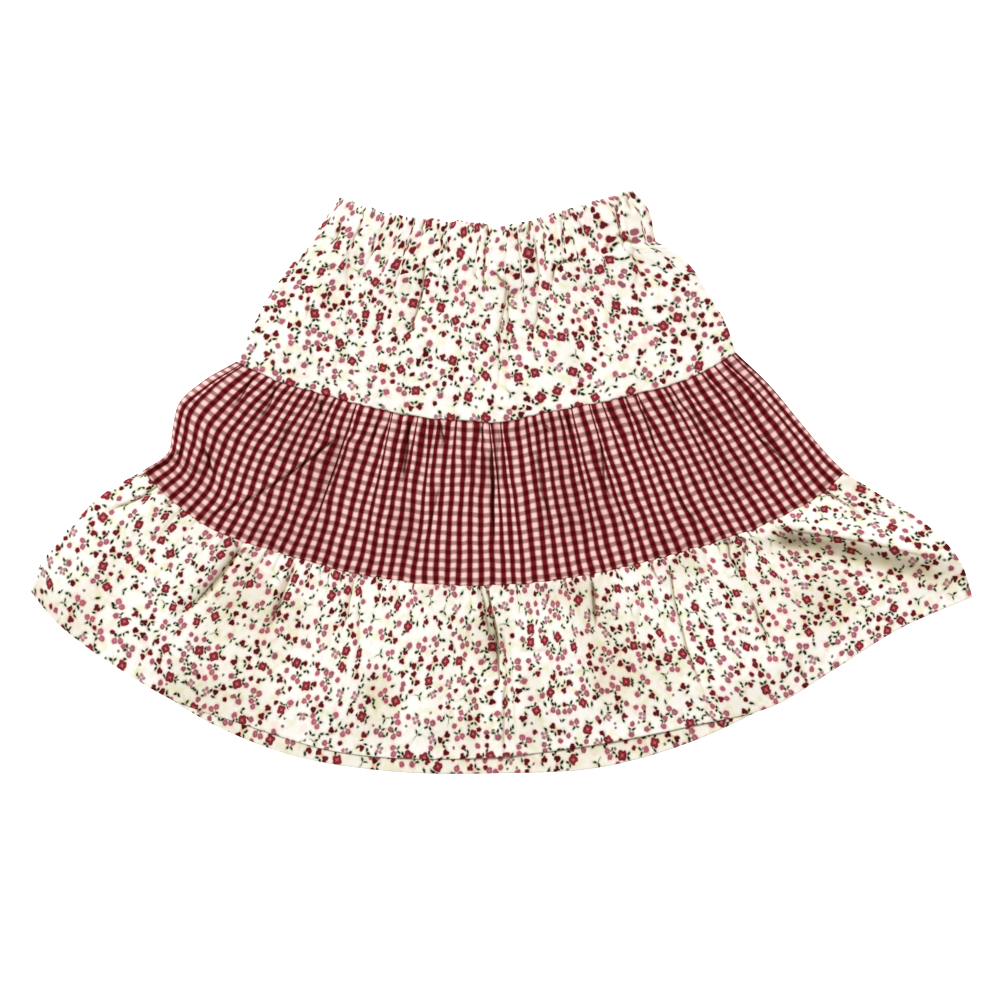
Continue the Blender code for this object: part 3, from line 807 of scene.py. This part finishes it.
def poplin_bump(tree, metres):
    """Plain weave of poplin as a height: threads both ways. Real threads are a quarter of a
    millimetre apart, too fine to show, so they are drawn 0.7 mm apart, under a slow slub."""
    warp, weft = (
        add(tree, "TexWave", {"Vector": metres, "Scale": THREADS, "Distortion": 1.0, "Detail": 1.0,
                              "Detail Scale": 0.4}, bands_direction=way).node.outputs["Fac"]
        for way in "XY"
    )
    threads = add(tree, "Math", (warp, weft), operation="ADD")
    crumple = add(tree, "TexNoise", {"Vector": metres, "Scale": SLUB, "Detail": 3.0, "Roughness": 0.55})
    weave = add(tree, "Bump", {"Strength": 0.10, "Distance": 0.0002, "Height": threads})
    return add(tree, "Bump", {"Strength": 0.35, "Distance": 0.0012, "Height": crumple, "Normal": weave})


# Sizes of the floral print in millimetres. A drift has the scale, the reach and the detail of its noise
PRINT_DRIFT = (1 / 80, 7.0, 0.0)  # the rows of motifs wander
MOTIF_WOBBLE = (1 / 2.4, 1.3, 0.0)  # and their outlines are uneven, as the inks run
MOTIF_RANDOMNESS = 0.55  # how far a main motif strays from the middle of its cell
MOTIF_SIZES = (0.18, 0.97)  # how much the inverse of a motif's size varies, and its lowest value
FILLER_SPACING = 7.0  # between the small leaves, buds and dots
FILLER_RANDOMNESS = 0.8
LEAF = (1.85, 1.05)  # half axes of a leaf
SIDE_LEAVES = [("sides", 4.0, -1.8, *LEAF, 0.5)]
CHERRY_LEAVES = [("sides", 1.8, 4.9, *LEAF, 0.7), ("sides", 1.3, 3.0, 1.4, 0.35, -1.0)]

# Motifs of the print. One falls on each cell whose lot lies between its low and high. Its shapes, by
# their ink, are sets of ovals: where each shows, its middle across and up from the motif's own, its
# half axes and its angle. It shows once, at both sides, at both ends, or at all four. A filler stays
# free of a main motif by a share of the main spacing
Motif = namedtuple("Motif", "low high shapes free", defaults=(0,))
MOTIFS = (
    # flower: four petals set square, a lighter cross between them, a coral heart, three leaves
    Motif(0.0, 0.22, {
        "crimson": [("four", 1.6, 1.6, 2.2, 2.2), ("four", 0, 0, 3.5, 3.5)],
        "light crimson": [("four", 1.6, 1.6, 1.1, 1.1)],
        "coral": [("four", 0, 0, 1.2, 1.2)],
        "green": [("sides", 1.6, -5.4, *LEAF, -0.6), ("once", -0.8, 5.3, *LEAF, 0.9)],
    }),
    # two hearts that point at each other over a peach spot
    Motif(0.22, 0.36, {
        "dark crimson": [("four", 4.5, 1.1, 1.9, 1.8), ("four", 2.9, 0, 1.8, 1.7)],
        "peach": [("four", 0, 0, 1.1, 1.4)],
        "green": [("sides", 1.8, -3.9, *LEAF, -0.6)],
    }),
    # two cherries that touch, with stems and leaves
    Motif(0.36, 0.58, {
        "rose": [("sides", 2.6, 0, 2.5, 2.45)],
        "light rose": [("sides", 2.4, 0.5, 1.0, 0.9)],
        "green": CHERRY_LEAVES,
    }),
    # one heart
    Motif(0.58, 0.72, {
        "dark crimson": [("ends", 0.7, 1.2, 1.9, 1.8), ("ends", -0.9, 0, 1.8, 1.6)],
        "green": SIDE_LEAVES,
    }),
    # blossom: four small mauve petals round a pale eye, a leaf on each side
    Motif(0.72, 0.81, {
        "mauve": [("four", 1.6, 1.6, 1.6, 1.6)],
        "cream": [("four", 0, 0, 0.8, 0.8)],
        "green": SIDE_LEAVES,
    }),
    # one cherry
    Motif(0.81, 0.94, {"rose": [("once", 0, 0, 2.55, 2.5)], "green": CHERRY_LEAVES}),
    # sprig: two leaves on a stem
    Motif(0.94, 1.0, {"green": [("sides", 1.9, 0.9, 1.9, 0.95, 0.6), ("once", 0, -1.8, 0.35, 2.4)]}),
)
FILLERS = (
    # two leaves in a V, one leaf, a dot, a bud and a berry
    Motif(0.0, 0.11, {"green": [("sides", 1.5, 0.6, 1.75, 1.0, 0.6)]}, 0.40),
    Motif(0.22, 0.33, {"green": [("once", 0, 0, 2.1, 1.05)]}, 0.40),
    Motif(0.42, 0.6, {"taupe": [("once", 0, 0, 1.2, 1.1)]}, 0.40),
    Motif(0.6, 0.8, {"rose": [("once", 0, 0, 2.3, 2.2)]}, 0.46),
    Motif(0.8, 0.94, {"dark crimson": [("once", 0, 0, 2.2, 1.9)]}, 0.46),
)

# Rims that bleed out of inks, and the inks in the order of their screens, some in two shades
RIMS = {"#d4dcb0": ("green",), "#ffc8be": ("dark crimson", "crimson", "rose")}
INKS = {
    "green": ("#050a03", "#1c2416"),
    "taupe": ("#857670",),
    "dark crimson": ("#4a0e13", "#742028"),
    "crimson": ("#641a20", "#80222c"),
    "light crimson": ("#92303a",),
    "coral": ("#c46470",),
    "peach": ("#efc4a0",),
    "rose": ("#905a66", "#b66478"),
    "light rose": ("#c07a8c",),
    "mauve": ("#b0808c",),
    "cream": ("#e9c9b8",),
}


def motif_masks(tree, motifs, local, lot, from_motif=None):
    """Where motifs print, as pairs of an ink and a nearness: a motif's shapes show where the lot falls
    on it and, if it is a filler, where its cell's point is free of the main motifs."""
    places = {
        "once": local,
        "sides": mirrored(tree, local, up_down=False),
        "ends": mirrored(tree, local, left_right=False),
        "four": mirrored(tree, local),
    }
    masks = []
    for motif in motifs:
        here = chosen(tree, lot, motif.low, motif.high)
        if motif.free:
            free = add(tree, "Math", (from_motif, motif.free), operation="GREATER_THAN")
            here = both(tree, here, free)
        for ink, ovals in motif.shapes.items():
            drawn = (oval(tree, places[shown], (across, up), (wide, high), *angle)
                     for shown, across, up, wide, high, *angle in ovals)
            masks.append((ink, both(tree, either(tree, *drawn), here)))
    return masks


def ditsy_colour(tree, metres):
    """Ditsy floral print on white: crimson four-petal flowers, dark crimson hearts and rose cherries
    in pairs or alone, mauve blossoms and small black-green leaves, scattered about 14 mm apart, with
    leaves, buds and dots in the gaps. The inks bleed: leaves into a pale green rim, reds into pink."""
    looks = bpy.context.scene.skirt_looks
    place = add(tree, "VectorMath", {0: metres, "Scale": 1 / MM}, operation="SCALE")
    place = drifted(tree, place, *PRINT_DRIFT)
    place = drifted(tree, place, *MOTIF_WOBBLE)

    off, (lot, spin, tone), _ = motif_cells(tree, place, looks.motif_spacing / MM, MOTIF_RANDOMNESS)
    size = add(tree, "Math", (spin, *MOTIF_SIZES), operation="MULTIPLY_ADD")
    local = add(tree, "VectorMath", {0: turned(tree, off, spin), "Scale": size}, operation="SCALE")
    masks = motif_masks(tree, MOTIFS, local, lot)

    # the point of a filler's cell, measured from the nearest main motif
    off, (lot, spin, leaf_tone), home = motif_cells(tree, place, FILLER_SPACING, FILLER_RANDOMNESS)
    home = add(tree, "VectorMath", {0: home, "Scale": MM / looks.motif_spacing}, operation="SCALE")
    from_motif = add(tree, "TexVoronoi", {"Vector": home, "Scale": 1.0, "Randomness": MOTIF_RANDOMNESS},
                     voronoi_dimensions="2D")
    masks += motif_masks(tree, FILLERS, turned(tree, off, spin), lot, from_motif)
    masks = {ink: either(tree, *(mask for name, mask in masks if name == ink)) for ink in INKS}

    # ground: white, stained a little by the inks
    blotch = add(tree, "TexNoise", {"Vector": place, "Scale": 1 / 10, "Detail": 1.0})
    blotch = add(tree, "Math", (blotch, 6.0, -3.2), operation="MULTIPLY_ADD", use_clamp=True)
    blush = add(tree, "TexNoise", {"Vector": place, "Scale": 1 / 9, "Detail": 1.0, "W": 3.0},
                noise_dimensions="4D")
    blush = add(tree, "Math", (blush, 6.0, -3.5), operation="MULTIPLY_ADD", use_clamp=True)
    colour = painted(tree, linear("#fffefb"), blotch, linear("#f4f6d8"))
    colour = painted(tree, colour, blush, linear("#fdebe4"))

    for rim, inks in RIMS.items():
        colour = painted(tree, colour, either(tree, *(masks[ink] for ink in inks)), linear(rim))
    for ink, (shade, *second) in INKS.items():
        shade = linear(shade)
        if second:
            shade = painted(tree, shade, leaf_tone if ink == "green" else tone, linear(*second))
        colour = printed(tree, colour, masks[ink], shade)
    return colour


GINGHAM_DRIFT = (30.0, 4 * MM, 1.0)  # the bands wander, as threads do in a gathered cloth
WARP_SHARE = 0.54  # share of the repeat that is red across the cloth
WEFT_SHARE = 0.5  # and down it
BAND_SLOPE = 5.5  # a band goes from undyed to red within 1 / 5.5 of its repeat


def gingham_colour(tree, metres):
    """Yarn-dyed gingham: bands of red warp and red weft, each about half of its repeat, dark where
    both cross, mid-red where the warp alone is red and grey-rose where the weft alone is."""
    looks = bpy.context.scene.skirt_looks
    x, y, _ = add(tree, "SeparateXYZ", (drifted(tree, metres, *GINGHAM_DRIFT),)).node.outputs
    bands = []
    for value, repeat, share in ((x, looks.check_width, WARP_SHARE), (y, looks.check_height, WEFT_SHARE)):
        phase = add(tree, "Math", (value, 1 / repeat), operation="MULTIPLY")
        phase = add(tree, "Math", (phase,), operation="FRACT")
        away = add(tree, "Math", (phase, 0.5), operation="SUBTRACT")
        away = add(tree, "Math", (away,), operation="ABSOLUTE")
        bands.append(add(tree, "Math", (away, -BAND_SLOPE, BAND_SLOPE * share / 2 + 0.5),
                         operation="MULTIPLY_ADD", use_clamp=True))
    light = painted(tree, linear("#ffd6d4"), bands[1], linear("#b07b78"))
    dark = painted(tree, linear("#74141c"), bands[1], linear("#4e0206"))
    return painted(tree, light, bands[0], dark)


Cotton = namedtuple("Cotton", "slot colour_of hollow_tint crease_tint")
COTTONS = {
    # plain-woven fine cotton, bleached and screen-printed: matt white, with inks a little soft at
    # their rims, and cream shade painted into its folds
    FLORAL: Cotton("ivory_floral_poplin", ditsy_colour, "#d8ccaa", "#8e8270"),
    # plain-woven from red and undyed yarns: matt, with checks in three strengths of red, and brown
    # shade painted into its folds
    GINGHAM: Cotton("red_gingham_poplin", gingham_colour, "#c49c94", "#6c4c44"),
}


def cotton(name):
    """A woven cotton, made once: its colour from its cloth's own function, matt, with a faint sheen of
    loose fibre and the relief of its weave. Painted shade darkens that colour: the painted hollow shade
    multiplies it as the mesh's painted shade value rises to a half, and the painted crease shade from
    there to 1, at the bottom of a sharp crease."""
    if name in bpy.data.materials:
        return bpy.data.materials[name]
    look = COTTONS[name]
    material = bpy.data.materials.new(name)
    material.use_nodes = True
    tree = material.node_tree
    shader = tree.nodes["Principled BSDF"]
    metres = add(tree, "UVMap", uv_map="cloth")
    # the mesh's painted shade, read from its crease attribute
    crease = add(tree, "Attribute", attribute_name="crease").node.outputs["Fac"]
    shade = painted(tree, (1, 1, 1, 1), crease, linear(look.hollow_tint))
    sharp = add(tree, "Math", (crease, 2.0, -1.0), operation="MULTIPLY_ADD", use_clamp=True)
    shade = painted(tree, shade, sharp, linear(look.crease_tint))
    # the cloth's colour multiplied by the painted shade
    lit = add(tree, "Mix", {0: 1.0, 6: look.colour_of(tree, metres), 7: shade}, data_type="RGBA",
              blend_type="MULTIPLY")
    tree.links.new(lit.node.outputs[2], shader.inputs["Base Color"])
    tree.links.new(poplin_bump(tree, metres), shader.inputs["Normal"])
    shader.inputs["Roughness"].default_value = 0.85
    shader.inputs["Specular IOR Level"].default_value = 0.06
    shader.inputs["Sheen Weight"].default_value = 0.02
    shader.inputs["Sheen Roughness"].default_value = 0.5
    return material


def sweep(name):
    """Matt paper sweep, near white, with a very faint mottle and a little light of its own, as a lit
    sweep has, so that it stays white under a bright exposure."""
    material = bpy.data.materials.new(name)
    material.use_nodes = True
    tree = material.node_tree
    shader = tree.nodes["Principled BSDF"]
    place = add(tree, "TexCoord").node.outputs["Object"]
    mottle = add(tree, "TexNoise", {"Vector": place, "Scale": 3.0})
    tone = painted(tree, linear("#fafafa"), mottle, linear("#ffffff"))
    tree.links.new(tone, shader.inputs["Base Color"])
    shader.inputs["Roughness"].default_value = 0.9
    shader.inputs["Emission Color"].default_value = (1, 1, 1, 1)
    shader.inputs["Emission Strength"].default_value = 0.9
    return material


# ---------------------------------------------------------------- the add-on


class SkirtLooks(bpy.types.PropertyGroup):
    """Sizes of the prints and strength of the light."""

    motif_spacing: bpy.props.FloatProperty(
        name="Motif Spacing", description="Distance between the main motifs of the floral print",
        default=14.2 * MM, min=0.008, max=0.05, subtype="DISTANCE", unit="LENGTH")
    check_width: bpy.props.FloatProperty(
        name="Check Width", description="Repeat of the gingham across the cloth",
        default=8.96 * MM, min=0.002, max=0.05, subtype="DISTANCE", unit="LENGTH")
    check_height: bpy.props.FloatProperty(
        name="Check Height", description="Repeat of the gingham down the cloth",
        default=7.1 * MM, min=0.002, max=0.05, subtype="DISTANCE", unit="LENGTH")
    key_light: bpy.props.FloatProperty(
        name="Key Light", description="Strength of the key light", default=3.35, min=0)
    fill_light: bpy.props.FloatProperty(
        name="Fill Light", description="Brightness of the surroundings", default=0.4, min=0)


# The stage, in metres
FLOOR_HALF = 3.0  # half of the floor's side
FLOOR_GAP = 0.0003  # the floor lies this far below the skirt
KEY_PLACE = (-2.2, 2.6, 2.8)  # the key light shines from here to the middle of the skirt
KEY_ANGLE = 0.4  # and fills this angle, in radians, as a large soft box does
CAMERA_OVER = (-0.00077, -0.01425)  # the camera looks straight down on this place
CAMERA_HEIGHT = 6.0
FRAME_SIDE = 0.770  # side of the square that it sees on the floor


def aim(data, place, target):
    """Puts a light or camera at a place, facing the target, with +Y upright in a view from above."""
    thing = bpy.data.objects.new(data.name, data)
    thing.location = place
    thing.rotation_euler = (Vector(target) - Vector(place)).to_track_quat("-Z", "Y").to_euler()
    bpy.context.scene.collection.objects.link(thing)
    return thing


class SKIRT_OT_waist_casing(bpy.types.Operator):
    """Lay the front and back of the elasticated waist casing"""

    bl_idname = "skirt.waist_casing"
    bl_label = "Waist Casing"

    def execute(self, context):
        lay("casing", "front")
        lay("casing", "back")
        return {"FINISHED"}


class SKIRT_OT_top_tier(bpy.types.Operator):
    """Lay the front and back of the floral top tier"""

    bl_idname = "skirt.top_tier"
    bl_label = "Top Tier"

    def execute(self, context):
        lay("top", "front")
        lay("top", "back")
        return {"FINISHED"}


class SKIRT_OT_middle_tier(bpy.types.Operator):
    """Lay the front and back of the gingham middle tier"""

    bl_idname = "skirt.middle_tier"
    bl_label = "Middle Tier"

    def execute(self, context):
        lay("middle", "front")
        lay("middle", "back")
        return {"FINISHED"}


class SKIRT_OT_bottom_tier(bpy.types.Operator):
    """Lay the front and back of the floral bottom ruffle and the turned-up hem"""

    bl_idname = "skirt.bottom_tier"
    bl_label = "Bottom Tier"

    def execute(self, context):
        lay("bottom", "front")
        lay("bottom", "back")
        lay_turning()
        return {"FINISHED"}


class SKIRT_OT_stage(bpy.types.Operator):
    """Set the floor, the lights and the camera above the skirt"""

    bl_idname = "skirt.stage"
    bl_label = "Stage"

    def execute(self, context):
        looks = context.scene.skirt_looks
        floor_mesh = bpy.data.meshes.new("floor")
        half = FLOOR_HALF
        floor_mesh.from_pydata([(-half, -half, 0), (half, -half, 0), (half, half, 0), (-half, half, 0)], [],
                               [(0, 1, 2, 3)])
        floor_mesh.materials.append(sweep("matt_white_sweep"))
        floor = bpy.data.objects.new("floor", floor_mesh)
        floor.location.z = -FLOOR_GAP
        context.scene.collection.objects.link(floor)

        key = bpy.data.lights.new("key", "SUN")
        key.energy = looks.key_light
        key.angle = KEY_ANGLE
        key.color = linear("#f9fcff")[:3]
        aim(key, KEY_PLACE, (0, 0, 0))

        world = bpy.data.worlds.new("studio")
        world.use_nodes = True
        sky = world.node_tree.nodes["Background"]
        sky.inputs["Color"].default_value = linear("#fff3e6")
        sky.inputs["Strength"].default_value = looks.fill_light
        context.scene.world = world

        camera = bpy.data.cameras.new("camera")
        camera.sensor_width = 36.0
        camera.lens = camera.sensor_width * CAMERA_HEIGHT / FRAME_SIDE
        camera.clip_end = 20.0
        context.scene.camera = aim(camera, (*CAMERA_OVER, CAMERA_HEIGHT), (*CAMERA_OVER, 0))
        context.scene.view_settings.view_transform = "Standard"
        return {"FINISHED"}


class SKIRT_PT_panel(bpy.types.Panel):
    """Lists the steps and the settings"""

    bl_label = "Tiered Ruffle Skirt"
    bl_space_type = "VIEW_3D"
    bl_region_type = "UI"
    bl_category = "Skirt"

    def draw(self, context):
        looks = context.scene.skirt_looks
        for name in looks.bl_rna.properties.keys():
            if name not in ("rna_type", "name"):
                self.layout.prop(looks, name)
        for step in STEPS:
            self.layout.operator(step.bl_idname)


STEPS = (SKIRT_OT_stage, SKIRT_OT_waist_casing, SKIRT_OT_top_tier, SKIRT_OT_middle_tier, SKIRT_OT_bottom_tier)
CLASSES = (SkirtLooks, *STEPS, SKIRT_PT_panel)


def register():
    """Adds the classes and the settings."""
    for cls in CLASSES:
        bpy.utils.register_class(cls)
    bpy.types.Scene.skirt_looks = bpy.props.PointerProperty(type=SkirtLooks)


def unregister():
    """Takes the settings and the classes away."""
    del bpy.types.Scene.skirt_looks
    for cls in reversed(CLASSES):
        bpy.utils.unregister_class(cls)


def main():
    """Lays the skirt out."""
    register()
    bpy.ops.skirt.stage()
    bpy.ops.skirt.waist_casing()
    bpy.ops.skirt.top_tier()
    bpy.ops.skirt.middle_tier()
    bpy.ops.skirt.bottom_tier()


if __name__ == "__main__":
    main()
